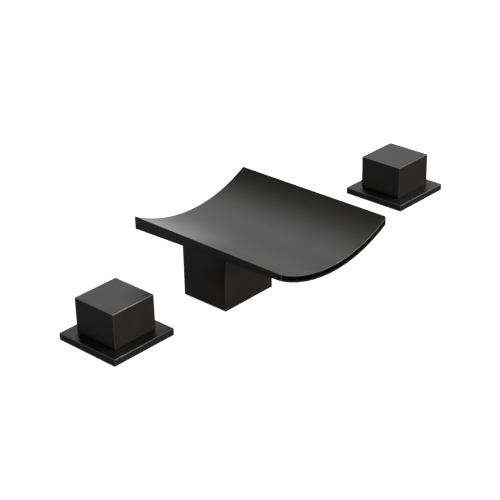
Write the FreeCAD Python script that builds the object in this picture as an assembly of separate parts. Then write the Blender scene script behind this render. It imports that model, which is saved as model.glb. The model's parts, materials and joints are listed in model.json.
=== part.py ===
import FreeCAD, Part
import math
import os

# A three-piece waterfall bath filler: a spout with a curved hollow plate between two square knobs.
# Millimetres, +Z up. The origin is the spout's fixing axis where it meets the deck's top face.
# The spout pours towards -Y. The hot knob is on the left, at -X, and the cold one on the right.

V = FreeCAD.Vector
UP = V(0, 0, 1)
ORIGIN = V(0, 0, 0)

# ---- layout on the deck
hot_x = -104.0
cold_x = 224.0
row_y = 13.0                # both knobs stand this far behind the spout's axis
deck_thickness = 20.0

# ---- square knob and its escutcheon
knob_side = 40.0
knob_height = 28.1
knob_foot_gap = 0.4
knob_wall = 3.5
knob_roof = 4.0
knob_edge = 0.5
boss_radius = 7.5
rib_width = 9.0
escutcheon_side = 58.5
escutcheon_thickness = 5.5
escutcheon_edge = 0.45

# ---- curved plate of the spout
plate_width = 117.0
plate_back = 36.5           # behind the spout's axis
plate_front = 105.0         # in front of the spout's axis
plate_low_z = 57.5          # lowest line of the top face
plate_sag = 15.5            # rise from that line to the side edges
plate_back_thickness = 10.4
plate_front_thickness = 5.3
plate_corner = 2.2
top_skin = 1.0
bottom_skin = 1.1
side_wall = 2.0
baffle_distance = 35.0      # from the lip back to the baffle
baffle_thickness = 1.0
baffle_hole = 1.1
baffle_pitch = 6.0

# ---- pillar under the plate
pillar_width = 52.0
pillar_depth = 43.0
pillar_wall = 3.0
pillar_floor = 10.0
pillar_edge = 0.5
feed_margin = 4.0           # rim of the plate's floor that rests inside the pillar's outline
base_gasket_margin = 4.0

# ---- threads, as their outer radii
valve_shank_radius = 13.0
spout_shank_radius = 12.0
half_inch_thread = 10.48    # G 1/2
port_wall = 2.33            # makes a G 3/8 thread round the 12 mm tube
set_screw_radius = 1.98     # M4
set_screw_length = 8.0
set_screw_socket = 2.0      # across its flats, and its depth
thread_clearance = 0.05

# ---- valve body
body_flange_radius = 17.0
body_flange_thickness = 2.5
body_neck_radius = 14.5
body_neck_rise = 3.5
body_cast_radius = 15.0
body_flats = 27.0
shank_depth = 42.0          # below the deck's top face
port_depth = 52.0
body_floor_depth = 62.0
body_floor_thickness = 4.0
inlet_length = 15.0
waterway_radius = 5.0
riser_wall = 1.6
seat_radius = 8.8
seat_thickness = 3.0
seat_cone = 2.0             # from the seat's rim down to the riser
cast_step = 1.0             # from the shank out to the cast body
port_root = 4.0             # how far a port reaches into the cast body

# ---- ceramic cartridge
cartridge_flange_radius = 13.2
cartridge_flange_thickness = 2.0
cartridge_hex = 19.0
cartridge_hex_height = 5.0
cartridge_neck_radius = 6.6
cartridge_neck_height = 4.0
cartridge_thread_length = 9.0
sleeve_radius = 9.3
sleeve_bore = 7.6
sleeve_length = 14.0
spindle_radius = 4.5
spindle_clearance = 0.05
spindle_groove_depth = 1.1
spindle_groove_width = 1.4
spindle_groove_spacing = 4.0
spline_teeth = 20
spline_tip = 3.95
spline_root = 3.55
spline_clearance = 0.05
disc_radius = 7.3
disc_thickness = 2.8
fixed_disc_margin = 0.2     # fixed disc beyond the turning one
disc_window_inner = 2.8
disc_window_outer = 6.0
disc_window_sweep = 70.0
drive_bar_length = 12.6
drive_bar_width = 3.8
drive_bar_depth = 1.0       # bar inside the turning disc
drive_slot_depth = 1.2
drive_play = 0.2
turn_range = 90.0
stop_key_sweep = 60.0
stop_play = 1.0             # degrees of play at each stop
stop_hub_step = 0.7         # hub beyond the spindle's radius
stop_height = 3.0
stop_gap = 0.4              # between the sleeve's windows and the stop
seal_recess = 0.4           # seat seal's top above the sleeve's end
window_height = 3.0
window_sweep = 60.0
clip_thickness = 0.7
clip_reach = 1.3            # clip beyond the spindle's radius
clip_groove_depth = 0.9
clip_opening = 60.0
end_play = 0.3

# ---- seals
o_ring_groove = 1.6
valve_o_ring = 0.72
spindle_o_ring = 0.55
spout_o_ring = 0.75
seal_gap = 0.05
gasket_thickness = 1.0
gasket_inner = 19.0
gasket_outer = 26.0
seat_seal_thickness = 2.4
seat_seal_play = 0.2
spout_seal_room = 2.0       # height of the room for the spout's o-ring

# ---- clamping stack under the deck
clamp_radius = 21.0
rubber_thickness = 3.0
washer_thickness = 1.5
lock_nut_height = 8.0
valve_lock_nut_flats = 36.0
spout_lock_nut_flats = 34.0
washer_clearance = 0.4

# ---- tee and bridge tubes under the deck
tee_radius = 16.0
tee_top_depth = 38.0
tee_floor_depth = 62.0
spout_shank_depth = 45.0
spout_shank_bore = 8.0
tee_seal_thickness = 1.5
port_reach = 25.0           # from a fitting's axis to the end of its port
tube_radius = 6.0
tube_wall = 0.8
socket_depth = 7.0
bridge_nut_wall = 1.67
bridge_nut_cover = 8.0
bridge_nut_beyond = 5.0
bridge_nut_play = 0.1       # round the tube
bridge_nut_run_out = 1.5    # end of the nut's thread past the port's mouth
bridge_nut_cone = (1.0, 2.0, 4.2)     # where the nut's cone starts, narrows and ends
olive_wall = 1.4
olive_tip_wall = 0.25
olive_play = 0.15
olive_profile = (-1.0, 0.6, 1.8, 3.8)    # its ends and its belly, from the port's mouth
mouth_depth = 1.2           # the port's cone for the olive
mouth_play = 0.2
bend_clearance = 0.5        # straight tube between a nut and its bend

# ---- levels that follow from the sizes above
knob_z0 = escutcheon_thickness + knob_foot_gap
knob_z1 = knob_z0 + knob_height
knob_roof_z = knob_z1 - knob_roof
neck_top = escutcheon_thickness + body_neck_rise
hex_z0 = neck_top + cartridge_flange_thickness
hex_z1 = hex_z0 + cartridge_hex_height
cartridge_top = hex_z1 + cartridge_neck_height
clip_z0 = cartridge_top + end_play
clip_z1 = clip_z0 + clip_thickness
boss_z0 = clip_z1 + 2 * end_play
spline_z0 = clip_z1 + end_play
spline_z1 = knob_roof_z - end_play
set_screw_z = (boss_z0 + knob_roof_z) / 2
thread_end = neck_top - cartridge_thread_length
sleeve_end = thread_end - sleeve_length
seal_top = sleeve_end + seal_recess
seat_z = seal_top - seat_seal_thickness
fixed_disc_top = seal_top + disc_thickness
turning_disc_top = fixed_disc_top + disc_thickness
window_z1 = turning_disc_top + window_height
stop_z0 = window_z1 + stop_gap
stop_z1 = stop_z0 + stop_height
sleeve_roof = stop_z1 + 2 * end_play
chamber_radius = half_inch_thread + thread_clearance
riser_radius = waterway_radius + riser_wall
inlet_end = -body_floor_depth - inlet_length
deck_under = -deck_thickness
washer_top = deck_under - rubber_thickness
nut_top = washer_top - washer_thickness
nut_bottom = nut_top - lock_nut_height
tube_socket_radius = tube_radius + thread_clearance
port_thread = tube_radius + port_wall
bridge_nut_flats = 2 * (port_thread + bridge_nut_wall)
olive_radius = tube_radius + olive_wall
stop_hub_radius = spindle_radius + stop_hub_step
clip_radius = spindle_radius + clip_reach
seat_groove_radius = half_inch_thread + 2 * valve_o_ring + 2 * seal_gap
half_width = plate_width / 2
plate_length = plate_back + plate_front
plate_edge_z = plate_low_z + plate_sag
plate_radius = (half_width ** 2 + plate_sag ** 2) / (2 * plate_sag)
plate_taper = (plate_back_thickness - plate_front_thickness) / plate_length
overrun = 4.0               # how far the plate's cutting shapes run past it
past = 1.0                  # how far a small cut runs past the face it opens
weld = 0.5                  # how far two shapes reach into each other where they are joined
close = 0.01                # two heights this near are the same
chamfer_angle = 30.0        # of a hexagon's turned-down corners


# ---- basic shapes, all standing on the Z axis
def rod(radius, z0, z1):
    return Part.makeCylinder(radius, z1 - z0, V(0, 0, z0))


def ring(inner, outer, z0, z1):
    return rod(outer, z0, z1).cut(rod(inner, z0, z1))


def block(size_x, size_y, z0, z1):
    return Part.makeBox(size_x, size_y, z1 - z0, V(-size_x / 2, -size_y / 2, z0))


def turned(profile):
    """A solid of revolution from (radius, height) points."""
    points = [V(r, 0, z) for r, z in profile]
    face = Part.Face(Part.makePolygon(points + points[:1]))
    return face.revolve(ORIGIN, UP, 360)


def sector(inner, outer, middle, sweep, z0, z1):
    """A slice of a ring, sweep degrees wide, centred on the angle middle."""
    points = [V(inner, 0, z0), V(outer, 0, z0), V(outer, 0, z1), V(inner, 0, z1)]
    face = Part.Face(Part.makePolygon(points + points[:1]))
    piece = face.revolve(ORIGIN, UP, sweep)
    piece.rotate(ORIGIN, UP, middle - sweep / 2)
    return piece


def polygon_prism(points, z0, z1):
    """An upright prism on a closed outline of (x, y) points."""
    corners = [V(x, y, z0) for x, y in points]
    return Part.Face(Part.makePolygon(corners + corners[:1])).extrude(V(0, 0, z1 - z0))


def hexagon(flats, z0, z1):
    """A hexagonal bar whose corners are turned down at both ends."""
    corner = flats / math.sqrt(3)
    angles = [math.radians(60 * i) for i in range(6)]
    bar = polygon_prism([(corner * math.cos(a), corner * math.sin(a)) for a in angles], z0, z1)
    drop = (corner - flats / 2) * math.tan(math.radians(chamfer_angle))
    return bar.common(turned([
        (0, z0), (flats / 2, z0), (corner, z0 + drop),
        (corner, z1 - drop), (flats / 2, z1), (0, z1)]))


def spline(growth, z0, z1):
    """A toothed bar, made larger by growth all round for the hole that takes it."""
    points = []
    for i in range(2 * spline_teeth):
        radius = (spline_tip if i % 2 == 0 else spline_root) + growth
        angle = math.pi * i / spline_teeth
        points.append((radius * math.cos(angle), radius * math.sin(angle)))
    return polygon_prism(points, z0, z1)


def o_ring(mean_radius, section, z):
    return Part.makeTorus(mean_radius, section, V(0, 0, z), UP)


def round_edges(shape, radius, wanted):
    """Rounds the straight edges whose middle point passes the test wanted."""
    edges = [e for e in shape.Edges if wanted(e.CenterOfMass)]
    return shape.makeFillet(radius, edges)


def along_x(shape, x, y, z, way):
    """Lays an upright shape along +X or -X, as way is 1 or -1, and moves its base to x, y, z."""
    placed = shape.copy()
    placed.rotate(ORIGIN, V(0, 1, 0), 90 * way)
    placed.translate(V(x, y, z))
    return placed


def along_y(shape, z):
    """Lays an upright shape along +Y at height z."""
    placed = shape.copy()
    placed.rotate(ORIGIN, V(1, 0, 0), -90)
    placed.translate(V(0, 0, z))
    return placed


def save(name, shape, x=0.0, y=0.0):
    placed = shape.copy()
    placed.translate(V(x, y, 0))
    placed.exportStep("parts/" + name + ".step")


# ---- knob group, built about its own axis
def make_knob():
    """Hollow square knob with a toothed boss inside, and a rib that carries the set screw."""
    outside = block(knob_side, knob_side, knob_z0, knob_z1)
    outside = round_edges(outside, knob_edge, lambda c: c.z > knob_z0 + close)
    room = knob_side - 2 * knob_wall
    cavity = block(room, room, knob_z0 - past, knob_roof_z)
    boss = rod(boss_radius, boss_z0, knob_roof_z)
    rib = Part.makeBox(rib_width, room / 2, knob_roof_z - boss_z0, V(-rib_width / 2, 0, boss_z0))
    knob = outside.cut(cavity.cut(boss.fuse(rib)))
    screw_hole = along_y(rod(set_screw_radius + thread_clearance, 0, knob_side), set_screw_z)
    return knob.cut(spline(spline_clearance, boss_z0 - past, knob_roof_z)).cut(screw_hole)


def make_set_screw():
    """Socket set screw that bears on the spindle's teeth."""
    start = spline_tip + seal_gap
    end = start + set_screw_length
    screw = rod(set_screw_radius, start, end)
    socket = hexagon(set_screw_socket, end - set_screw_socket, end + past)
    return along_y(screw.cut(socket), set_screw_z)


def make_spindle(hand):
    """Spindle with its teeth, seal grooves, clip groove, stop lug and drive bar."""
    lug_sweep = 360 - stop_key_sweep - 2 * stop_play - turn_range
    lug_middle = stop_key_sweep / 2 + stop_play + lug_sweep / 2
    groove_root = spindle_radius - spindle_groove_depth
    half_groove = spindle_groove_width / 2
    grooves = [
        ring(groove_root, clip_radius, z - half_groove, z + half_groove) for z in spindle_seal_heights()]
    clip_root = spindle_radius - clip_groove_depth
    grooves.append(ring(clip_root, clip_radius, clip_z0 - seal_gap, clip_z1 + seal_gap))
    shaft = rod(spindle_radius, stop_z0, spline_z0).cut(Part.makeCompound(grooves))
    hub = rod(stop_hub_radius, stop_z0, stop_z1)
    lug = sector(stop_hub_radius - weld, disc_radius, hand * lug_middle, lug_sweep, stop_z0, stop_z1)
    bar = block(drive_bar_length, drive_bar_width, turning_disc_top - drive_bar_depth, stop_z0)
    teeth = spline(0, spline_z0, spline_z1)
    return shaft.fuse([hub, lug, bar, teeth]).removeSplitter()


def spindle_seal_heights():
    middle = (thread_end + neck_top) / 2
    return [middle - spindle_groove_spacing / 2, middle + spindle_groove_spacing / 2]


def make_spindle_o_rings():
    mean = spindle_radius - spindle_o_ring
    return Part.makeCompound([o_ring(mean, spindle_o_ring, z) for z in spindle_seal_heights()])


def make_spindle_clip():
    washer = ring(spindle_radius - clip_groove_depth + seal_gap, clip_radius, clip_z0, clip_z1)
    opening = sector(past, clip_radius + past, 270, clip_opening, clip_z0 - past, clip_z1 + past)
    return washer.cut(opening)


def disc_windows(middle):
    """The two windows of a ceramic disc, opposite each other."""
    return Part.makeCompound([
        sector(disc_window_inner, disc_window_outer, angle, disc_window_sweep, seat_z, stop_z1)
        for angle in (middle, middle + 180)])


def make_turning_disc():
    disc = rod(disc_radius, fixed_disc_top, turning_disc_top)
    slot_floor = turning_disc_top - drive_slot_depth
    slot = block(drive_bar_length + drive_play, drive_bar_width + drive_play, slot_floor, stop_z1)
    return disc.cut(disc_windows(90)).cut(slot)


def make_fixed_disc():
    return rod(disc_radius + fixed_disc_margin, seal_top, fixed_disc_top).cut(disc_windows(0))


# ---- the still parts of each valve
def make_escutcheon():
    """Square cover plate, counterbored for the valve body's flange and grooved for its gasket."""
    plate = block(escutcheon_side, escutcheon_side, 0, escutcheon_thickness)
    plate = round_edges(plate, escutcheon_edge, lambda c: c.z > close)
    hole = rod(valve_shank_radius + washer_clearance, -past, escutcheon_thickness)
    flange_seat = escutcheon_thickness - body_flange_thickness
    counterbore = rod(body_flange_radius + washer_clearance, flange_seat, neck_top)
    groove = ring(gasket_inner, gasket_outer, 0, gasket_thickness)
    return plate.cut(hole).cut(counterbore).cut(groove)


def make_valve_body(toward):
    """Brass body: flange and neck above the deck, threaded shank through it, port and inlet below."""
    flange_seat = escutcheon_thickness - body_flange_thickness
    gallery_floor = -body_floor_depth + body_floor_thickness
    groove_floor = neck_top - o_ring_groove
    body = turned([
        (waterway_radius, seat_z), (seat_radius, seat_z), (seat_radius, seat_z - seat_thickness),
        (riser_radius, seat_z - seat_thickness - seat_cone), (riser_radius, gallery_floor),
        (chamber_radius, gallery_floor), (chamber_radius, groove_floor),
        (seat_groove_radius, groove_floor), (seat_groove_radius, neck_top), (body_neck_radius, neck_top),
        (body_neck_radius, escutcheon_thickness), (body_flange_radius, escutcheon_thickness),
        (body_flange_radius, flange_seat),
        (valve_shank_radius, flange_seat), (valve_shank_radius, -shank_depth),
        (body_cast_radius, -shank_depth - cast_step), (body_cast_radius, -body_floor_depth),
        (half_inch_thread, -body_floor_depth), (half_inch_thread, inlet_end), (waterway_radius, inlet_end)])
    for side in (-1, 1):
        slab = block(4 * body_cast_radius, body_cast_radius, -body_floor_depth - past, -shank_depth)
        slab.translate(V(0, side * (body_flats + body_cast_radius) / 2, 0))
        body = body.cut(slab)
    port = along_x(rod(port_thread, body_cast_radius - port_root, port_reach), 0, 0, -port_depth, toward)
    way = along_x(port_waterway(riser_radius + past), 0, 0, -port_depth, toward)
    return body.fuse(port).cut(way).removeSplitter()


def port_waterway(start):
    """What is bored from a port: the waterway, the tube's socket and the cone for the olive."""
    mouth_radius = olive_radius - mouth_play
    mouth = turned([
        (0, port_reach - mouth_depth), (tube_socket_radius, port_reach - mouth_depth),
        (mouth_radius, port_reach), (mouth_radius, port_reach + past), (0, port_reach + past)])
    socket = rod(tube_socket_radius, port_reach - socket_depth, port_reach)
    return rod(waterway_radius, start, port_reach).fuse([socket, mouth])


def make_cartridge_housing():
    """Screwed-in housing of the cartridge: hexagon, thread and slotted sleeve, with the stop key inside."""
    outside = turned([
        (0, cartridge_top), (cartridge_neck_radius, cartridge_top), (cartridge_neck_radius, hex_z0),
        (cartridge_flange_radius, hex_z0), (cartridge_flange_radius, neck_top), (half_inch_thread, neck_top),
        (half_inch_thread, thread_end), (sleeve_radius, thread_end), (sleeve_radius, sleeve_end),
        (0, sleeve_end)])
    bore = rod(spindle_radius + spindle_clearance, sleeve_end, cartridge_top)
    room = rod(sleeve_bore, sleeve_end, sleeve_roof)
    shape = outside.fuse(hexagon(cartridge_hex, hex_z0, hex_z1)).cut(bore.fuse(room))
    for angle in (90, 270):
        window = sector(disc_radius, sleeve_radius + past, angle, window_sweep, turning_disc_top, window_z1)
        shape = shape.cut(window)
    key_inner = stop_hub_radius + end_play
    key = sector(key_inner, sleeve_bore + weld, 0, stop_key_sweep, stop_z0, sleeve_roof + weld)
    return shape.fuse(key).removeSplitter()


def make_cartridge_o_ring():
    mean = (half_inch_thread + seat_groove_radius) / 2
    return o_ring(mean, valve_o_ring, neck_top - o_ring_groove / 2)


def make_lock_nut(shank_radius, flats):
    thread = rod(shank_radius + thread_clearance, nut_bottom, nut_top)
    return hexagon(flats, nut_bottom, nut_top).cut(thread)


# ---- spout
def arc_rise(x):
    """Height of the plate's arc at x above its lowest line."""
    return plate_radius - math.sqrt(plate_radius ** 2 - x ** 2)


def plate_thickness(y):
    """Upright thickness of the plate, which thins evenly towards the lip."""
    return plate_back_thickness - plate_taper * (plate_back - y)


def arc_prism(low_z, fall, close_z):
    """Long prism between the level close_z and the plate's arc, wider and longer than the plate.

    low_z is the arc's lowest height at the back edge, which rises by fall for each millimetre forwards.
    """
    wide = half_width + overrun
    back = plate_back + overrun
    base = low_z - fall * overrun
    left = V(-wide, back, base + arc_rise(wide))
    right = V(wide, back, base + arc_rise(wide))
    arc = Part.Arc(left, V(0, back, base), right).toShape()
    rest = Part.makePolygon([right, V(wide, back, close_z), V(-wide, back, close_z), left])
    face = Part.Face(Part.Wire([arc] + rest.Edges))
    length = plate_length + 2 * overrun
    return face.extrude(V(0, -length, fall * length))


def under_top(drop):
    """Everything below the plate's top face lowered by drop."""
    return arc_prism(plate_low_z - drop, 0, -plate_edge_z)


def over_bottom(lift):
    """Everything above the plate's sloping underside raised by lift."""
    return arc_prism(plate_low_z - plate_back_thickness + lift, plate_taper, 2 * plate_edge_z)


def under_bottom():
    """Everything below the plate's sloping underside."""
    return arc_prism(plate_low_z - plate_back_thickness, plate_taper, -plate_edge_z)


def plate_outline():
    """Upright block with the plate's plan, its two front corners rounded."""
    plan = Part.makeBox(plate_width, plate_length, 2 * plate_edge_z, V(-half_width, -plate_front, 0))
    middles = [V(side * half_width, -plate_front, plate_edge_z) for side in (-1, 1)]
    return round_edges(plan, plate_corner, lambda c: min(c.distanceToPoint(m) for m in middles) < close)


def plate_room():
    """The water's room between the two skins, open at the front lip."""
    inside = Part.makeBox(plate_width - 2 * side_wall, plate_length, 2 * plate_edge_z,
                          V(-half_width + side_wall, -plate_front - side_wall, 0))
    return under_top(top_skin).common(over_bottom(bottom_skin)).common(inside)


def make_top_plate():
    return plate_outline().common(under_top(0)).cut(under_top(top_skin))


def make_tray():
    """Floor, sides and back of the spout's plate, with the feed opening over the pillar."""
    whole = plate_outline().common(under_top(top_skin)).common(over_bottom(0))
    rim = 2 * (pillar_wall + feed_margin)
    feed = block(pillar_width - rim, pillar_depth - rim, 0, plate_edge_z).common(under_top(top_skin))
    return whole.cut(plate_room()).cut(feed)


def make_baffle():
    """Perforated strip across the water's room, which spreads the flow along the lip."""
    back_face = -plate_front + baffle_distance
    slab = Part.makeBox(plate_width, baffle_thickness, 2 * plate_edge_z, V(-half_width, back_face, 0))
    strip = plate_room().common(slab)
    middle = plate_low_z + (bottom_skin - top_skin - plate_thickness(back_face)) / 2
    count = int((half_width - side_wall - baffle_pitch / 2) / baffle_pitch)
    holes = []
    for i in range(-count, count + 1):
        x = i * baffle_pitch
        start = V(x, back_face - overrun, middle + arc_rise(x))
        holes.append(Part.makeCylinder(baffle_hole, 2 * overrun + baffle_thickness, start, V(0, 1, 0)))
    return strip.cut(Part.makeCompound(holes))


def make_pillar():
    """Hollow square pillar, its top cut to the plate's underside, its floor tapped for the shank."""
    outside = block(pillar_width, pillar_depth, 0, plate_edge_z)
    outside = round_edges(outside, pillar_edge, lambda c: abs(c.z - plate_edge_z / 2) < close)
    walls = 2 * pillar_wall
    room = block(pillar_width - walls, pillar_depth - walls, pillar_floor, plate_edge_z + past)
    bore = rod(spout_shank_radius + thread_clearance, -past, pillar_floor)
    seal_radius = spout_shank_radius + 2 * spout_o_ring + 2 * seal_gap
    seal_room = rod(seal_radius, 0, gasket_thickness + spout_seal_room)
    return outside.cut(room.fuse([bore, seal_room, base_gasket_outline()])).common(under_bottom())


def base_gasket_outline():
    rim = 2 * base_gasket_margin
    return block(pillar_width - rim, pillar_depth - rim, 0, gasket_thickness)


def make_base_gasket():
    hole = rod(spout_shank_radius + washer_clearance, -past, gasket_thickness + past)
    return base_gasket_outline().cut(hole)


def make_spout_shank():
    return ring(spout_shank_bore, spout_shank_radius, -spout_shank_depth, pillar_floor - past)


def make_tee():
    """Brass tee that screws onto the spout's shank, with a port each side."""
    socket_floor = -spout_shank_depth - tee_seal_thickness
    body = turned([
        (spout_shank_radius + thread_clearance, -tee_top_depth), (tee_radius, -tee_top_depth),
        (tee_radius, -tee_floor_depth), (0, -tee_floor_depth), (0, -tee_floor_depth + body_floor_thickness),
        (spout_shank_bore, -tee_floor_depth + body_floor_thickness), (spout_shank_bore, socket_floor),
        (spout_shank_radius + thread_clearance, socket_floor)])
    for way in (-1, 1):
        body = body.fuse(along_x(rod(port_thread, spout_shank_radius, port_reach), 0, 0, -port_depth, way))
    for way in (-1, 1):
        body = body.cut(along_x(port_waterway(0), 0, 0, -port_depth, way))
    return body.removeSplitter()


def make_tee_seal():
    socket_floor = -spout_shank_depth - tee_seal_thickness
    return ring(spout_shank_bore, spout_shank_radius, socket_floor, -spout_shank_depth)


# ---- bridge tubes
def tube_face(x, y):
    """Section of the tube, upright, facing along X."""
    centre = V(x, y, -port_depth)
    outer = Part.Wire(Part.makeCircle(tube_radius, centre, V(1, 0, 0)))
    inner = Part.Wire(Part.makeCircle(tube_radius - tube_wall, centre, V(1, 0, 0)))
    return Part.Face([outer, inner])


def make_bridge_tube(valve_x, toward):
    """Copper tube from a valve's port to the tee, with one gentle double bend that takes up row_y."""
    start = valve_x + toward * (port_reach - socket_depth)
    end = -toward * (port_reach - socket_depth)
    straight = socket_depth + bridge_nut_beyond + bend_clearance
    bend_start = start + toward * straight
    bend_end = end - toward * straight
    run = abs(bend_end - bend_start)
    ends = [tube_face(start, row_y).extrude(V(bend_start - start, 0, 0)),
            tube_face(end, 0).extrude(V(bend_end - end, 0, 0))]
    bend_radius = (run ** 2 + row_y ** 2) / (4 * row_y)
    turn = math.degrees(math.asin(run / 2 / bend_radius))
    first = tube_face(bend_start, row_y).revolve(V(bend_start, row_y - bend_radius, 0), UP, -toward * turn)
    second = tube_face(bend_end, 0).revolve(V(bend_end, bend_radius, 0), UP, -toward * turn)
    return ends[0].fuse([first, second, ends[1]]).removeSplitter()


def at_bridge_ends(shape, valve_x, toward):
    """Lays an upright shape at both port mouths that a bridge tube joins, each facing out of its port."""
    at_valve = along_x(shape, valve_x + toward * port_reach, row_y, -port_depth, toward)
    at_tee = along_x(shape, -toward * port_reach, 0, -port_depth, -toward)
    return Part.makeCompound([at_valve, at_tee])


def make_bridge_nuts(valve_x, toward):
    nut = hexagon(bridge_nut_flats, -bridge_nut_cover, bridge_nut_beyond)
    thread = rod(port_thread + thread_clearance, -bridge_nut_cover - past, bridge_nut_run_out)
    cone_radius = olive_radius + mouth_play
    hole_radius = tube_radius + bridge_nut_play
    start, narrows, end = bridge_nut_cone
    cone = turned([(0, start), (cone_radius, start), (cone_radius, narrows), (hole_radius, end), (0, end)])
    nut = nut.cut(thread.fuse([cone, rod(hole_radius, 0, bridge_nut_beyond + past)]))
    return at_bridge_ends(nut, valve_x, toward)


def make_olives(valve_x, toward):
    tip = tube_radius + olive_tip_wall
    bore = tube_radius + thread_clearance
    belly = olive_radius - olive_play
    start, swells, narrows, end = olive_profile
    olive = turned([(bore, start), (tip, start), (belly, swells), (belly, narrows), (tip, end), (bore, end)])
    return at_bridge_ends(olive, valve_x, toward)


def make_side(name, x, toward, hand):
    """All the pieces of one valve. toward is the way to the spout, hand the way the knob opens."""
    washer_bore = valve_shank_radius + washer_clearance
    valve_pieces = {
        "knob": make_knob(),
        "knob_set_screw": make_set_screw(),
        "spindle": make_spindle(hand),
        "spindle_o_rings": make_spindle_o_rings(),
        "spindle_clip": make_spindle_clip(),
        "turning_disc": make_turning_disc(),
        "fixed_disc": make_fixed_disc(),
        "seat_seal": ring(waterway_radius + seat_seal_play, sleeve_bore - seat_seal_play, seat_z, seal_top),
        "cartridge_housing": make_cartridge_housing(),
        "cartridge_o_ring": make_cartridge_o_ring(),
        "escutcheon": make_escutcheon(),
        "escutcheon_gasket": ring(gasket_inner, gasket_outer, 0, gasket_thickness),
        "valve_body": make_valve_body(toward),
        "clamp_rubber": ring(washer_bore, clamp_radius, washer_top, deck_under),
        "clamp_washer": ring(washer_bore, clamp_radius, nut_top, washer_top),
        "lock_nut": make_lock_nut(valve_shank_radius, valve_lock_nut_flats)}
    for piece, shape in valve_pieces.items():
        save(name + "_" + piece, shape, x, row_y)
    save(name + "_bridge_tube", make_bridge_tube(x, toward))
    save(name + "_bridge_nuts", make_bridge_nuts(x, toward))
    save(name + "_bridge_olives", make_olives(x, toward))


def make_spout():
    """All the pieces of the spout, with the tee that feeds it."""
    washer_bore = spout_shank_radius + washer_clearance
    o_ring_radius = spout_shank_radius + spout_o_ring + seal_gap
    o_ring_z = gasket_thickness + spout_seal_room / 2
    save("spout_top_plate", make_top_plate())
    save("spout_tray", make_tray())
    save("spout_baffle", make_baffle())
    save("spout_pillar", make_pillar())
    save("spout_base_gasket", make_base_gasket())
    save("spout_o_ring", o_ring(o_ring_radius, spout_o_ring, o_ring_z))
    save("spout_shank", make_spout_shank())
    save("spout_clamp_rubber", ring(washer_bore, clamp_radius, washer_top, deck_under))
    save("spout_clamp_washer", ring(washer_bore, clamp_radius, nut_top, washer_top))
    save("spout_lock_nut", make_lock_nut(spout_shank_radius, spout_lock_nut_flats))
    save("tee", make_tee())
    save("tee_seal", make_tee_seal())


os.makedirs("parts", exist_ok=True)
make_side("hot", hot_x, 1, 1)
make_side("cold", cold_x, -1, -1)
make_spout()
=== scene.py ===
import json
import math

import bmesh
import bpy
from mathutils import Matrix, Vector


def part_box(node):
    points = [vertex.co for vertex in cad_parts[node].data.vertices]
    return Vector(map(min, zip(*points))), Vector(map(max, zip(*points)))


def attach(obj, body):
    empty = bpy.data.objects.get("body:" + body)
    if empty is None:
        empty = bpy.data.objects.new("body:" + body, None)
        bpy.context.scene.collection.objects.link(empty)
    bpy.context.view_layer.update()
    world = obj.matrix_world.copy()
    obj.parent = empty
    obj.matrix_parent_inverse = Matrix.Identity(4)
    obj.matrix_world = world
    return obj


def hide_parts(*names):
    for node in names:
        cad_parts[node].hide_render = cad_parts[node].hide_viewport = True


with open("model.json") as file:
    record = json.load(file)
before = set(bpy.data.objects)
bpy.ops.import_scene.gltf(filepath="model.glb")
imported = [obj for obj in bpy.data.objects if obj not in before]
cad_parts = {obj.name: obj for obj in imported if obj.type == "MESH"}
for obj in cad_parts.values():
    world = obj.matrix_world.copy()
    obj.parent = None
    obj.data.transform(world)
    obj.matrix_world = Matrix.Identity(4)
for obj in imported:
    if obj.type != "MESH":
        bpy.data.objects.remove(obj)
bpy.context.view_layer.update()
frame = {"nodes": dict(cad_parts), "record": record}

# Looks of a three-piece waterfall bath filler. Metres, in the CAD frame: +Z up, the spout pours
# towards -Y, the hot knob is at -X. Sizes are written in millimetres and multiplied by MM.
MM = 0.001
FIXED = "fixed_set"
SIDES = {"hot": "hot_handle", "cold": "cold_handle"}

# ---- sizes that a box can't give, the same as the part's own
TOP_SKIN = 1.0 * MM
BOTTOM_SKIN = 1.1 * MM
SIDE_WALL = 2.0 * MM
PLATE_BACK_THICKNESS = 10.4 * MM
PLATE_FRONT_THICKNESS = 5.3 * MM
PLATE_CORNER = 2.2 * MM
DECK_THICKNESS = 20 * MM
DECK_REACH = 6000 * MM
DECK_GAP = 0.02 * MM         # kept from the faces that clamp it
VALVE_SHANK = 13.0 * MM
SPOUT_SHANK = 12.0 * MM
INLET = 10.48 * MM
INLET_LENGTH = 15 * MM
SHANK_BELOW_NUT = 9.5 * MM   # how far the valve's thread runs on below its lock nut
SHANK_IN_COVER = 3 * MM      # and up into the cover plate's hole

# ---- finish of edges and threads
COATED_EDGE = 0.5 * MM
EDGE_STEPS = 4
CORNER_STEPS = 6
EDGE_POLISH_AND_HIGHLIGHT_LAYER = "edge_polish_and_painted_highlight"   # painted highlight and polish: 1 on the rounded upper edges of the coated pieces, 0 on their flats
FLAT_WITHIN = math.cos(math.radians(8))   # a face this square to an axis is flat, not an edge
UPRIGHT_EDGE_HIGHLIGHT = 0.15           # an upright edge gets this much of the painted highlight and polish
STRIP_WIDTH = 1.5 * MM       # the plate is rolled in strips this wide
FINE_PITCH = 1.5 * MM        # thread of the shanks
PIPE_PITCH = 1.814 * MM      # thread of the inlets
THREAD_DEPTH = 0.62          # of a pitch
THREAD_HALF_WIDTH = 0.46     # of a pitch
STEPS_PER_TURN = 32.0
TINY = 0.01 * MM             # closer than this is the same place
WELD = 0.0005 * MM           # corners of loose triangles this close are one
SHARP = math.radians(40)     # an edge that turns more than this is rounded
SAME_PLANE = math.radians(0.2)


# ---------------------------------------------------------------- materials
def linear(hex_colour):
    """The linear RGBA of an sRGB hex colour."""
    channels = [int(hex_colour[i:i + 2], 16) / 255 for i in (1, 3, 5)]
    curve = [c / 12.92 if c <= 0.04045 else ((c + 0.055) / 1.055) ** 2.4 for c in channels]
    return (*curve, 1.0)


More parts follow.
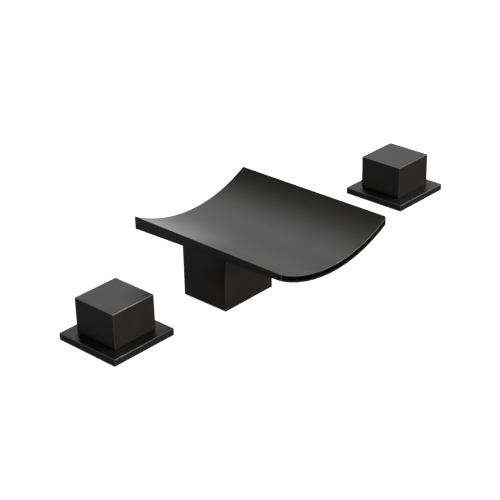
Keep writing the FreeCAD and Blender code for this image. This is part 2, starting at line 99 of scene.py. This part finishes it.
def add(tree, kind, links=(), **settings):
    """Adds a node, sets its properties and inputs, and links (input, node, output) into it."""
    node = tree.nodes.new(kind)
    for name, value in settings.items():
        if hasattr(node, name):
            setattr(node, name, value)
        else:
            socket = name.replace("_", " ")
            node.inputs[int(socket[5:]) if socket.startswith("input") else socket].default_value = value
    for socket, source, output in links:
        tree.links.new(source.outputs[output], node.inputs[socket])
    return node


def new_material(name, base, roughness, metallic=0.0):
    """A principled material and its parts: material, tree, shader and object coordinates."""
    material = bpy.data.materials.new(name)
    material.use_nodes = True
    tree = material.node_tree
    shader = tree.nodes["Principled BSDF"]
    shader.inputs["Base Color"].default_value = linear(base)
    shader.inputs["Roughness"].default_value = roughness
    shader.inputs["Metallic"].default_value = metallic
    place = add(tree, "ShaderNodeTexCoord")
    return material, tree, shader, place


def per_metre(size_in_mm):
    """Texture scale at which one cell of a pattern is size_in_mm wide."""
    return 1 / (size_in_mm * MM)


def matte_black_coat(name, roughness, darkest="#191614", lightest="#1d1a18"):
    """Matte black electrocoat on brass: faintly pebbled with a broad soft sheen, and on its edges a
    painted highlight of light grey half metal, with the edges also polished glossier.
    The duller the coat, the wider and dimmer the sheen of a light behind it."""
    material, tree, shader, place = new_material(name, "#1b1816", roughness)
    shader.inputs["IOR"].default_value = 1.5
    # a pebbled skin over slow waves from the dip bath; real pebbles are about 0.1 mm, drawn coarser
    grain = add(tree, "ShaderNodeTexNoise", [("Vector", place, "Object")],
                Scale=per_metre(0.5), Detail=2.0)
    flow = add(tree, "ShaderNodeTexNoise", [("Vector", place, "Object")],
               Scale=per_metre(14), Detail=3.0)
    gloss = add(tree, "ShaderNodeMapRange", [("Value", flow, "Fac")],
                From_Min=0.3, From_Max=0.7, To_Min=roughness - 0.01, To_Max=roughness + 0.02)
    tone = add(tree, "ShaderNodeValToRGB", [("Fac", flow, "Fac")])
    tone.color_ramp.elements[0].position = 0.35
    tone.color_ramp.elements[0].color = linear(darkest)
    tone.color_ramp.elements[1].position = 0.65
    tone.color_ramp.elements[1].color = linear(lightest)
    # cloths and hands polish the rounded edges glossier; their light grey, half metallic tone is a painted
    # highlight, strongest on upper edges
    edge = add(tree, "ShaderNodeAttribute", attribute_name=EDGE_POLISH_AND_HIGHLIGHT_LAYER)
    rubbed_gloss = add(tree, "ShaderNodeMix", [(0, edge, "Fac"), (2, gloss, "Result")], data_type="FLOAT")
    rubbed_gloss.inputs[3].default_value = 0.3
    edge_highlight_tone = add(tree, "ShaderNodeMix", [(0, edge, "Fac"), (6, tone, "Color")], data_type="RGBA")
    # painted highlight: the marked edges turn light grey
    edge_highlight_tone.inputs[7].default_value = linear("#8a8987")
    edge_glint_metal = add(tree, "ShaderNodeMath", [(0, edge, "Fac")], operation="MULTIPLY")
    edge_glint_metal.inputs[1].default_value = 0.5
    tree.links.new(edge_glint_metal.outputs[0], shader.inputs["Metallic"])
    tree.links.new(rubbed_gloss.outputs[0], shader.inputs["Roughness"])
    tree.links.new(edge_highlight_tone.outputs[2], shader.inputs["Base Color"])
    bump = add(tree, "ShaderNodeBump", [("Height", grain, "Fac")], Strength=0.12, Distance=0.02 * MM)
    tree.links.new(bump.outputs["Normal"], shader.inputs["Normal"])
    return material


def turned_brass():
    """Bare brass off the lathe: warm yellow, with fine turning lines and dull handled patches."""
    material, tree, shader, place = new_material("turned_brass", "#b5904f", 0.3, 1.0)
    # turning lines, 0.1 mm apart on real brass and drawn coarser, run round an upright axis
    stretch = add(tree, "ShaderNodeMapping", [("Vector", place, "Object")], Scale=(0.05, 0.05, 1.0))
    lines = add(tree, "ShaderNodeTexNoise", [("Vector", stretch, "Vector")],
                Scale=per_metre(0.35), Detail=1.0)
    patches = add(tree, "ShaderNodeTexNoise", [("Vector", place, "Object")],
                  Scale=per_metre(9), Detail=4.0)
    tone = add(tree, "ShaderNodeValToRGB", [("Fac", patches, "Fac")])
    tone.color_ramp.elements[0].position = 0.35
    tone.color_ramp.elements[0].color = linear("#a07c40")
    tone.color_ramp.elements[1].position = 0.62
    tone.color_ramp.elements[1].color = linear("#c4a05c")
    gloss = add(tree, "ShaderNodeMapRange", [("Value", patches, "Fac")],
                From_Min=0.3, From_Max=0.7, To_Min=0.42, To_Max=0.24)
    bump = add(tree, "ShaderNodeBump", [("Height", lines, "Fac")], Strength=0.25, Distance=0.02 * MM)
    tree.links.new(tone.outputs["Color"], shader.inputs["Base Color"])
    tree.links.new(gloss.outputs["Result"], shader.inputs["Roughness"])
    tree.links.new(bump.outputs["Normal"], shader.inputs["Normal"])
    return material


def drawn_copper():
    """Drawn copper tube: salmon pink with brown tarnish that gathers in clouds."""
    material, tree, shader, place = new_material("drawn_copper", "#b4694a", 0.28, 1.0)
    clouds = add(tree, "ShaderNodeTexNoise", [("Vector", place, "Object")],
                 Scale=per_metre(16), Detail=5.0, Distortion=0.6)
    tone = add(tree, "ShaderNodeValToRGB", [("Fac", clouds, "Fac")])
    tone.color_ramp.elements[0].position = 0.36
    tone.color_ramp.elements[0].color = linear("#7d4430")
    tone.color_ramp.elements[1].position = 0.6
    tone.color_ramp.elements[1].color = linear("#c27a58")
    gloss = add(tree, "ShaderNodeMapRange", [("Value", clouds, "Fac")],
                From_Min=0.3, From_Max=0.7, To_Min=0.46, To_Max=0.22)
    tree.links.new(tone.outputs["Color"], shader.inputs["Base Color"])
    tree.links.new(gloss.outputs["Result"], shader.inputs["Roughness"])
    return material


def stainless_steel():
    """Pressed stainless steel: grey, with a fine one-way brushed grain."""
    material, tree, shader, place = new_material("brushed_stainless_steel", "#b4b4b1", 0.34, 1.0)
    # the grain of the sheet runs along X; its scratches are finer than they are drawn
    stretch = add(tree, "ShaderNodeMapping", [("Vector", place, "Object")], Scale=(0.04, 1.0, 1.0))
    grain = add(tree, "ShaderNodeTexNoise", [("Vector", stretch, "Vector")],
                Scale=per_metre(0.3), Detail=2.0)
    gloss = add(tree, "ShaderNodeMapRange", [("Value", grain, "Fac")],
                From_Min=0.3, From_Max=0.7, To_Min=0.26, To_Max=0.44)
    bump = add(tree, "ShaderNodeBump", [("Height", grain, "Fac")], Strength=0.15, Distance=0.01 * MM)
    tree.links.new(gloss.outputs["Result"], shader.inputs["Roughness"])
    tree.links.new(bump.outputs["Normal"], shader.inputs["Normal"])
    return material


def moulded_rubber():
    """Black EPDM rubber from a mould: deep grey, dull, faintly dusty."""
    material, tree, shader, place = new_material("moulded_epdm_rubber", "#1b1b1b", 0.72)
    dust = add(tree, "ShaderNodeTexNoise", [("Vector", place, "Object")], Scale=per_metre(3), Detail=4.0)
    tone = add(tree, "ShaderNodeValToRGB", [("Fac", dust, "Fac")])
    tone.color_ramp.elements[0].position = 0.4
    tone.color_ramp.elements[0].color = linear("#181818")
    tone.color_ramp.elements[1].position = 0.7
    tone.color_ramp.elements[1].color = linear("#2a2a29")
    bump = add(tree, "ShaderNodeBump", [("Height", dust, "Fac")], Strength=0.2, Distance=0.05 * MM)
    tree.links.new(tone.outputs["Color"], shader.inputs["Base Color"])
    tree.links.new(bump.outputs["Normal"], shader.inputs["Normal"])
    return material


def vulcanised_fibre():
    """Red vulcanised fibre, as in tap washers: brick red with darker flecks."""
    material, tree, shader, place = new_material("vulcanised_fibre", "#7c2f21", 0.6)
    flecks = add(tree, "ShaderNodeTexNoise", [("Vector", place, "Object")],
                 Scale=per_metre(0.8), Detail=3.0)
    tone = add(tree, "ShaderNodeValToRGB", [("Fac", flecks, "Fac")])
    tone.color_ramp.elements[0].position = 0.4
    tone.color_ramp.elements[0].color = linear("#5e2016")
    tone.color_ramp.elements[1].position = 0.6
    tone.color_ramp.elements[1].color = linear("#8a3826")
    tree.links.new(tone.outputs["Color"], shader.inputs["Base Color"])
    return material


def lapped_alumina():
    """Lapped alumina ceramic: off-white, smooth as glass, very slightly cloudy."""
    material, tree, shader, place = new_material("lapped_alumina", "#e8e5dc", 0.22)
    shader.inputs["IOR"].default_value = 1.76
    cloud = add(tree, "ShaderNodeTexNoise", [("Vector", place, "Object")], Scale=per_metre(4), Detail=3.0)
    tone = add(tree, "ShaderNodeValToRGB", [("Fac", cloud, "Fac")])
    tone.color_ramp.elements[0].position = 0.4
    tone.color_ramp.elements[0].color = linear("#dfdbd0")
    tone.color_ramp.elements[1].position = 0.6
    tone.color_ramp.elements[1].color = linear("#efede6")
    tree.links.new(tone.outputs["Color"], shader.inputs["Base Color"])
    return material


FINISHES = {
    "black_coat": matte_black_coat("matte_black_electrocoat", 0.45), "brass": turned_brass(),
    "copper": drawn_copper(), "steel": stainless_steel(), "rubber": moulded_rubber(),
    "fibre": vulcanised_fibre(), "ceramic": lapped_alumina()}
# the same coat on the plate, which water and cloths polish, and on the cover plates, which nothing does;
# the cover plates' coat is also darker, as painted shade of the knobs that stand on them
WIPED_COAT = matte_black_coat("matte_black_electrocoat_wiped", 0.405)
DULL_SHADED_COAT = matte_black_coat("matte_black_electrocoat_dull_painted_shade", 0.5, "#0e0d0c", "#121110")
SLOT_OF = {part["node"]: part["material_slot"] for part in frame["record"]["subparts"]}


# ---------------------------------------------------------------- mesh helpers
def to_object(name, mesh):
    """A new object of the scene with this mesh."""
    piece = bpy.data.objects.new(name, mesh)
    bpy.context.scene.collection.objects.link(piece)
    return piece


def bake(piece):
    """Turns a piece's modifiers into its plain mesh and removes them."""
    bpy.context.view_layer.update()
    graph = bpy.context.evaluated_depsgraph_get()
    mesh = bpy.data.meshes.new_from_object(piece.evaluated_get(graph))
    piece.modifiers.clear()
    piece.data = mesh
    return piece


def smooth_with_crisp_edges(piece, angle=32):
    """Smooth shading that breaks at edges sharper than angle degrees, with flat faces kept flat."""
    form = bmesh.new()
    form.from_mesh(piece.data)
    for face in form.faces:
        face.smooth = True
    for edge in form.edges:
        edge.smooth = len(edge.link_faces) != 2 or edge.calc_face_angle() < math.radians(angle)
    form.to_mesh(piece.data)
    form.free()
    weighted = piece.modifiers.new("weighted", "WEIGHTED_NORMAL")
    weighted.keep_sharp = True
    return bake(piece)


def put(piece, body, slot, *nodes, finish=None):
    """Gives a piece a finish (its slot's, unless one is given) and a body, and hides the CAD nodes that it
    stands for.
    """
    piece.data.materials.clear()
    piece.data.materials.append(finish or FINISHES[slot])
    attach(piece, body)
    if nodes:
        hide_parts(*nodes)
    return piece


def welded_copy(node, name):
    """A copy of a CAD node's mesh with its loose triangles joined and its flat faces made whole."""
    piece = to_object(name, frame["nodes"][node].data.copy())
    form = bmesh.new()
    form.from_mesh(piece.data)
    bmesh.ops.remove_doubles(form, verts=form.verts, dist=WELD)
    bmesh.ops.dissolve_limit(form, angle_limit=SAME_PLANE, verts=form.verts, edges=form.edges)
    form.to_mesh(piece.data)
    form.free()
    return piece


# ---------------------------------------------------------------- geometry node trees
def node_group(name, sizes):
    """A geometry tree with a geometry, the named sizes and a material as inputs."""
    tree = bpy.data.node_groups.new(name, "GeometryNodeTree")
    tree.interface.new_socket("Geometry", in_out="INPUT", socket_type="NodeSocketGeometry")
    for size in sizes:
        tree.interface.new_socket(size, in_out="INPUT", socket_type="NodeSocketFloat")
    tree.interface.new_socket("Finish", in_out="INPUT", socket_type="NodeSocketMaterial")
    tree.interface.new_socket("Geometry", in_out="OUTPUT", socket_type="NodeSocketGeometry")
    return tree, add(tree, "NodeGroupInput"), add(tree, "NodeGroupOutput")


def math_node(tree, operation, first, second=None):
    """A maths node. Each operand is a number or a (node, output) pair."""
    node = add(tree, "ShaderNodeMath", operation=operation)
    for index, operand in enumerate((first, second)):
        if isinstance(operand, tuple):
            tree.links.new(operand[0].outputs[operand[1]], node.inputs[index])
        elif operand is not None:
            node.inputs[index].default_value = operand
    return node, 0


def finish_tree(tree, shape, entry, result):
    """Ends a tree: instances made real, then the material set."""
    real = add(tree, "GeometryNodeRealizeInstances", [("Geometry", shape, "Geometry")])
    painted = add(tree, "GeometryNodeSetMaterial",
                  [("Geometry", real, "Geometry"), ("Material", entry, "Finish")])
    tree.links.new(painted.outputs["Geometry"], result.inputs["Geometry"])


def run_tree(piece, tree, values):
    """Runs a geometry tree on a piece with its inputs set by identifier, and keeps the plain mesh."""
    modifier = piece.modifiers.new(tree.name, "NODES")
    modifier.node_group = tree
    inputs = [item for item in tree.interface.items_tree if item.in_out == "INPUT"]
    identifiers = {item.name: item.identifier for item in inputs}
    for name, value in values.items():
        modifier[identifiers[name]] = value
    return bake(piece)


def roll_tree():
    """Rolls a flat blank to an arc about an axis along Y: each point rises to the arc over its x."""
    tree, entry, result = node_group("roll_to_arc", ["Arc radius"])
    place = add(tree, "GeometryNodeInputPosition")
    axes = add(tree, "ShaderNodeSeparateXYZ", [("Vector", place, "Position")])
    x_squared = math_node(tree, "MULTIPLY", (axes, "X"), (axes, "X"))
    r_squared = math_node(tree, "MULTIPLY", (entry, "Arc radius"), (entry, "Arc radius"))
    root = math_node(tree, "SQRT", math_node(tree, "SUBTRACT", r_squared, x_squared))
    rise = math_node(tree, "SUBTRACT", (entry, "Arc radius"), root)
    offset = add(tree, "ShaderNodeCombineXYZ", [("Z", *rise)])
    moved = add(tree, "GeometryNodeSetPosition",
                [("Geometry", entry, "Geometry"), ("Offset", offset, "Vector")])
    finish_tree(tree, moved, entry, result)
    return tree


def thread_tree():
    """A helical ridge of diamond section round Z that runs out to nothing over half a turn at each end."""
    tree, entry, result = node_group("screw_thread", ["Root radius", "Depth", "Pitch", "Turns"])
    steps = math_node(tree, "MULTIPLY", (entry, "Turns"), STEPS_PER_TURN)
    grid = add(tree, "GeometryNodeMeshGrid", [("Vertices X", *steps)],
               Size_X=1.0, Size_Y=1.0, Vertices_Y=5)
    place = add(tree, "GeometryNodeInputPosition")
    axes = add(tree, "ShaderNodeSeparateXYZ", [("Vector", place, "Position")])
    along = math_node(tree, "ADD", (axes, "X"), 0.5)
    around = math_node(tree, "MULTIPLY", math_node(tree, "ADD", (axes, "Y"), 0.5), 2 * math.pi)
    turn = math_node(tree, "MULTIPLY", along, (entry, "Turns"))
    left = math_node(tree, "SUBTRACT", (entry, "Turns"), turn)
    nearest_end = math_node(tree, "MINIMUM", turn, left)
    run_out = math_node(tree, "MINIMUM", math_node(tree, "MULTIPLY", nearest_end, 2.0), 1.0)
    reach = math_node(tree, "MULTIPLY", math_node(tree, "COSINE", around), (entry, "Depth"))
    radius = math_node(tree, "ADD", math_node(tree, "MULTIPLY", reach, run_out), (entry, "Root radius"))
    half_width = math_node(tree, "MULTIPLY", (entry, "Pitch"), THREAD_HALF_WIDTH)
    flank = math_node(tree, "MULTIPLY", math_node(tree, "SINE", around), half_width)
    height = math_node(tree, "ADD", math_node(tree, "MULTIPLY", flank, run_out),
                       math_node(tree, "MULTIPLY", turn, (entry, "Pitch")))
    angle = math_node(tree, "MULTIPLY", turn, 2 * math.pi)
    x = math_node(tree, "MULTIPLY", radius, math_node(tree, "COSINE", angle))
    y = math_node(tree, "MULTIPLY", radius, math_node(tree, "SINE", angle))
    point = add(tree, "ShaderNodeCombineXYZ", [("X", *x), ("Y", *y), ("Z", *height)])
    moved = add(tree, "GeometryNodeSetPosition",
                [("Geometry", grid, "Mesh"), ("Position", point, "Vector")])
    closed = add(tree, "GeometryNodeMergeByDistance", [("Geometry", moved, "Geometry")],
                 Distance=0.1 * TINY)
    finish_tree(tree, closed, entry, result)
    return tree


ROLL = roll_tree()
THREAD = thread_tree()


# ---------------------------------------------------------------- the spout above the deck
def block_form(low, high):
    """A closed box mesh between two corners."""
    form = bmesh.new()
    size = Vector(high) - Vector(low)
    middle = (Vector(low) + Vector(high)) / 2
    bmesh.ops.create_cube(form, size=1, matrix=Matrix.Translation(middle) @ Matrix.Diagonal((*size, 1)))
    return form


def slope_floor(form, back, taper, shift):
    """Moves a blank's lower face to the plate's sloping underside, raised by shift."""
    floor = min(vertex.co.z for vertex in form.verts)
    for vertex in form.verts:
        if vertex.co.z < floor + TINY:
            vertex.co.z = -PLATE_BACK_THICKNESS + taper * (back - vertex.co.y) + shift


def mark_polished_and_highlit_edges(piece, lowest=-math.inf):
    """Marks how much painted highlight and polish the rounded edges above lowest get: upper edges fully,
    upright ones hardly.
    """
    layer = piece.data.attributes.new(EDGE_POLISH_AND_HIGHLIGHT_LAYER, "FLOAT", "FACE")
    for face, mark in zip(piece.data.polygons, layer.data):
        rounded = max(abs(c) for c in face.normal) < FLAT_WITHIN
        # share of painted highlight and polish: more on edges that face up
        polish_and_highlight = min(max(UPRIGHT_EDGE_HIGHLIGHT + face.normal.z, 0.0), 1.0)
        mark.value = polish_and_highlight if rounded and face.center.z > lowest else 0.0


def waterfall_plate():
    """The spout's hollow plate with its long outlet slot, pressed from flat and rolled to an arc."""
    low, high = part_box("spout_top_plate")
    half_width = (high.x - low.x) / 2
    front, back = low.y, high.y
    sag = high.z - low.z - TOP_SKIN
    lowest_line = low.z + TOP_SKIN
    taper = (PLATE_BACK_THICKNESS - PLATE_FRONT_THICKNESS) / (back - front)

    outside = block_form((-half_width, front, -PLATE_BACK_THICKNESS), (half_width, back, 0))
    slope_floor(outside, back, taper, 0)
    corners = [e for e in outside.edges if all(v.co.y < front + TINY for v in e.verts)
               and abs(e.verts[0].co.x - e.verts[1].co.x) < TINY]
    bmesh.ops.bevel(outside, geom=corners, offset=PLATE_CORNER, segments=CORNER_STEPS, profile=0.5,
                    affect="EDGES")
    blank = to_object("waterfall_plate", bpy.data.meshes.new("waterfall_plate"))
    outside.to_mesh(blank.data)
    outside.free()

    inside = block_form((-half_width + SIDE_WALL, front - SIDE_WALL, -PLATE_BACK_THICKNESS),
                        (half_width - SIDE_WALL, back - SIDE_WALL, -TOP_SKIN))
    slope_floor(inside, back, taper, BOTTOM_SKIN)
    room = to_object("water_room", bpy.data.meshes.new("water_room"))
    inside.to_mesh(room.data)
    inside.free()

    hollow = blank.modifiers.new("hollow", "BOOLEAN")
    hollow.operation = "DIFFERENCE"
    hollow.object = room
    hollow.solver = "EXACT"
    bake(blank)
    bpy.data.objects.remove(room)
    edges = blank.modifiers.new("edges", "BEVEL")
    edges.width = COATED_EDGE
    edges.segments = EDGE_STEPS
    edges.limit_method = "ANGLE"
    edges.angle_limit = SHARP
    bake(blank)
    # painted highlight and polish only on edges near the top face, none in the outlet slot or underneath
    mark_polished_and_highlit_edges(blank, -COATED_EDGE)

    form = bmesh.new()
    form.from_mesh(blank.data)
    strips = math.floor(half_width / STRIP_WIDTH)
    for i in range(-strips, strips + 1):
        everything = form.verts[:] + form.edges[:] + form.faces[:]
        cut = (i * STRIP_WIDTH, 0, 0)
        bmesh.ops.bisect_plane(form, geom=everything, plane_co=cut, plane_no=(1, 0, 0))
    form.to_mesh(blank.data)
    form.free()
    arc_radius = (half_width ** 2 + sag ** 2) / (2 * sag)
    run_tree(blank, ROLL, {"Arc radius": arc_radius, "Finish": FINISHES["black_coat"]})
    blank.data.transform(Matrix.Translation((0, 0, lowest_line)))
    smooth_with_crisp_edges(blank)
    put(blank, FIXED, "black_coat", "spout_top_plate", "spout_tray", finish=WIPED_COAT)


def coated_piece(node, name, body, finish=None):
    """A coated CAD solid with whole faces, crisp shading, and polished edges with a painted highlight."""
    piece = welded_copy(node, name)
    mark_polished_and_highlit_edges(piece)
    put(smooth_with_crisp_edges(piece), body, "black_coat", node, finish=finish)


def coated_pieces():
    """The pillar, both knobs and both cover plates."""
    coated_piece("spout_pillar", "spout_pillar_coated", FIXED)
    for side, handle in SIDES.items():
        coated_piece(side + "_knob", side + "_knob_coated", handle)
        # the cover plates get the darker coat: painted shade of the knobs
        coated_piece(side + "_escutcheon", side + "_cover_plate", FIXED, DULL_SHADED_COAT)


# ---------------------------------------------------------------- fittings below the deck
def neck_down(piece, centre, radius, root, z_low, z_high):
    """Turns a plain stretch of a round bar down to its thread's root."""
    for vertex in piece.data.vertices:
        dx, dy = vertex.co.x - centre.x, vertex.co.y - centre.y
        reach = math.hypot(dx, dy)
        if abs(reach - radius) < 3 * TINY and z_low - 5 * TINY < vertex.co.z < z_high + 5 * TINY:
            vertex.co.x = centre.x + dx * root / reach
            vertex.co.y = centre.y + dy * root / reach


def cut_thread(piece, centre, radius, pitch, z_low, z_high):
    """Gives a stretch of a piece a real thread: a turned-down root and a helical ridge joined on."""
    depth = THREAD_DEPTH * pitch
    root = radius - depth
    neck_down(piece, centre, radius, root, z_low, z_high)
    ridge = to_object("thread", bpy.data.meshes.new("thread"))
    turns = (z_high - z_low) / pitch - 1
    run_tree(ridge, THREAD, {"Root radius": root, "Depth": depth, "Pitch": pitch, "Turns": turns,
                             "Finish": FINISHES["brass"]})
    ridge.data.transform(Matrix.Translation((centre.x, centre.y, z_low + pitch / 2)))
    form = bmesh.new()
    form.from_mesh(ridge.data)
    bmesh.ops.recalc_face_normals(form, faces=form.faces)
    form.to_mesh(ridge.data)
    form.from_mesh(piece.data)
    form.to_mesh(piece.data)
    form.free()
    bpy.data.objects.remove(ridge)


def threaded_valve(side):
    """A valve body with its shank's fine thread and its inlet's pipe thread cut."""
    node = side + "_valve_body"
    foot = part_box(node)[0].z
    cover_low, cover_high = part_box(side + "_escutcheon")
    centre = (cover_low + cover_high) / 2
    shank_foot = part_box(side + "_lock_nut")[0].z - SHANK_BELOW_NUT
    piece = welded_copy(node, side + "_valve_threaded")
    cut_thread(piece, centre, VALVE_SHANK, FINE_PITCH, shank_foot, cover_low.z + SHANK_IN_COVER)
    cut_thread(piece, centre, INLET, PIPE_PITCH, foot, foot + INLET_LENGTH)
    put(smooth_with_crisp_edges(piece), FIXED, "brass", node)


def threaded_spout_shank():
    """The spout's shank, threaded over its whole length."""
    low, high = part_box("spout_shank")
    centre = (low + high) / 2
    piece = welded_copy("spout_shank", "spout_shank_threaded")
    cut_thread(piece, centre, SPOUT_SHANK, FINE_PITCH, low.z, high.z)
    put(smooth_with_crisp_edges(piece), FIXED, "brass", "spout_shank")


def fittings():
    """Every piece that shows below the deck."""
    for side in SIDES:
        threaded_valve(side)
        for name in ("lock_nut", "bridge_nuts", "bridge_tube", "clamp_washer", "clamp_rubber"):
            node = side + "_" + name
            put(smooth_with_crisp_edges(welded_copy(node, node + "_finished")), FIXED, SLOT_OF[node], node)
    threaded_spout_shank()
    for node in ("tee", "spout_lock_nut", "spout_clamp_washer", "spout_clamp_rubber"):
        put(smooth_with_crisp_edges(welded_copy(node, node + "_finished")), FIXED, SLOT_OF[node], node)


def finish_carried_over_nodes():
    """Every CAD node that still shows gets the finish of its slot."""
    for name, node in frame["nodes"].items():
        node.data.materials.clear()
        node.data.materials.append(FINISHES[SLOT_OF[name]])


# ---------------------------------------------------------------- stage, light and camera
def row_centre():
    """The point midway between the two cover plates, on the deck."""
    hot_low, hot_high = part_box("hot_escutcheon")
    cold_low, cold_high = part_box("cold_escutcheon")
    middle = (hot_low + hot_high + cold_low + cold_high) / 4
    return Vector((middle.x, middle.y, hot_low.z))


def deck():
    """A plain pale slab of the thickness that the set is drawn clamped to."""
    form = block_form((-DECK_REACH, -DECK_REACH, -DECK_THICKNESS + DECK_GAP),
                      (DECK_REACH, DECK_REACH, -DECK_GAP))
    slab = to_object("deck", bpy.data.meshes.new("deck"))
    form.to_mesh(slab.data)
    form.free()
    material, tree, shader, place = new_material("pale_deck", "#f4f4f4", 0.9)
    shader.inputs["Emission Color"].default_value = (1, 1, 1, 1)
    shader.inputs["Emission Strength"].default_value = 1.0
    slab.data.materials.append(material)
    slab.visible_glossy = False
    slab.visible_diffuse = False
    slab.visible_shadow = False


def soft_box(name, azimuth, elevation, distance, width, height, power):
    """A rectangular area light that faces the row's centre from the given direction."""
    a, e = math.radians(azimuth), math.radians(elevation)
    direction = Vector((math.cos(a) * math.cos(e), math.sin(a) * math.cos(e), math.sin(e)))
    light = bpy.data.lights.new(name, "AREA")
    light.shape = "RECTANGLE"
    light.size, light.size_y = width, height
    light.energy = power
    lamp = bpy.data.objects.new(name, light)
    bpy.context.scene.collection.objects.link(lamp)
    lamp.location = row_centre() + direction * distance
    lamp.rotation_euler = direction.to_track_quat("Z", "Y").to_euler()


def studio_light():
    """Big soft boxes all round: one behind for the sheen of the tops, and dimmer ones for the sides."""
    soft_box("back_right_high", 48, 38, 4.0, 2.0, 1.6, 24)
    soft_box("back_right_low", 38, -1, 4.0, 3.6, 2.8, 56)
    soft_box("front", -90, 5, 2.0, 1.4, 1.2, 22)
    soft_box("front_right", -45, 2, 2.0, 1.2, 1.2, 2)
    soft_box("back_left", 135, -4, 2.0, 1.2, 1.2, 3.4)
    soft_box("edge_strip", -55, 44, 2.0, 1.6, 0.4, 25)
    soft_box("overhead", 0, 88, 2.0, 1.2, 1.2, 5)
    soft_box("right", -8, 6, 2.0, 1.2, 1.2, 5)
    soft_box("left", 184, 6, 2.0, 1.2, 1.2, 4)
    soft_box("table_bounce", 0, -90, 0.8, 3.0, 3.0, 1.5)
    world = bpy.data.worlds.new("studio")
    bpy.context.scene.world = world
    world.use_nodes = True
    tree = world.node_tree
    around = tree.nodes["Background"]
    around.inputs["Color"].default_value = linear("#ffffff")
    around.inputs["Strength"].default_value = 0.0
    backdrop = add(tree, "ShaderNodeBackground", Color=(1, 1, 1, 1), Strength=1.0)
    seen = add(tree, "ShaderNodeLightPath")
    mix = add(tree, "ShaderNodeMixShader", [(0, seen, "Is Camera Ray"), (1, around, "Background"),
                                            (2, backdrop, "Background")])
    tree.links.new(mix.outputs["Shader"], tree.nodes["World Output"].inputs["Surface"])


def camera():
    """Long lens from the front left, a little above, aimed just left of and above the row's centre."""
    azimuth, elevation, roll = math.radians(-47.0), math.radians(26.9), math.radians(-1.36)
    distance = 1161 * MM
    aim_left, aim_up = 14.5 * MM, 6.0 * MM
    back = Vector((math.sin(azimuth) * math.cos(elevation), -math.cos(azimuth) * math.cos(elevation),
                   math.sin(elevation)))
    level_right = Vector((math.cos(azimuth), math.sin(azimuth), 0))
    level_up = back.cross(level_right)
    right = level_right * math.cos(roll) + level_up * math.sin(roll)
    up = level_up * math.cos(roll) - level_right * math.sin(roll)
    data = bpy.data.cameras.new("camera")
    data.sensor_width = 36
    data.lens = 105.1
    eye = bpy.data.objects.new("camera", data)
    bpy.context.scene.collection.objects.link(eye)
    place = row_centre() + back * distance - right * aim_left + up * aim_up
    turn = Matrix((right, up, back)).transposed().to_4x4()
    eye.matrix_world = Matrix.Translation(place) @ turn
    bpy.context.scene.camera = eye


camera()
waterfall_plate()
coated_pieces()
fittings()
finish_carried_over_nodes()
deck()
studio_light()
bpy.context.scene.view_settings.view_transform = "Standard"
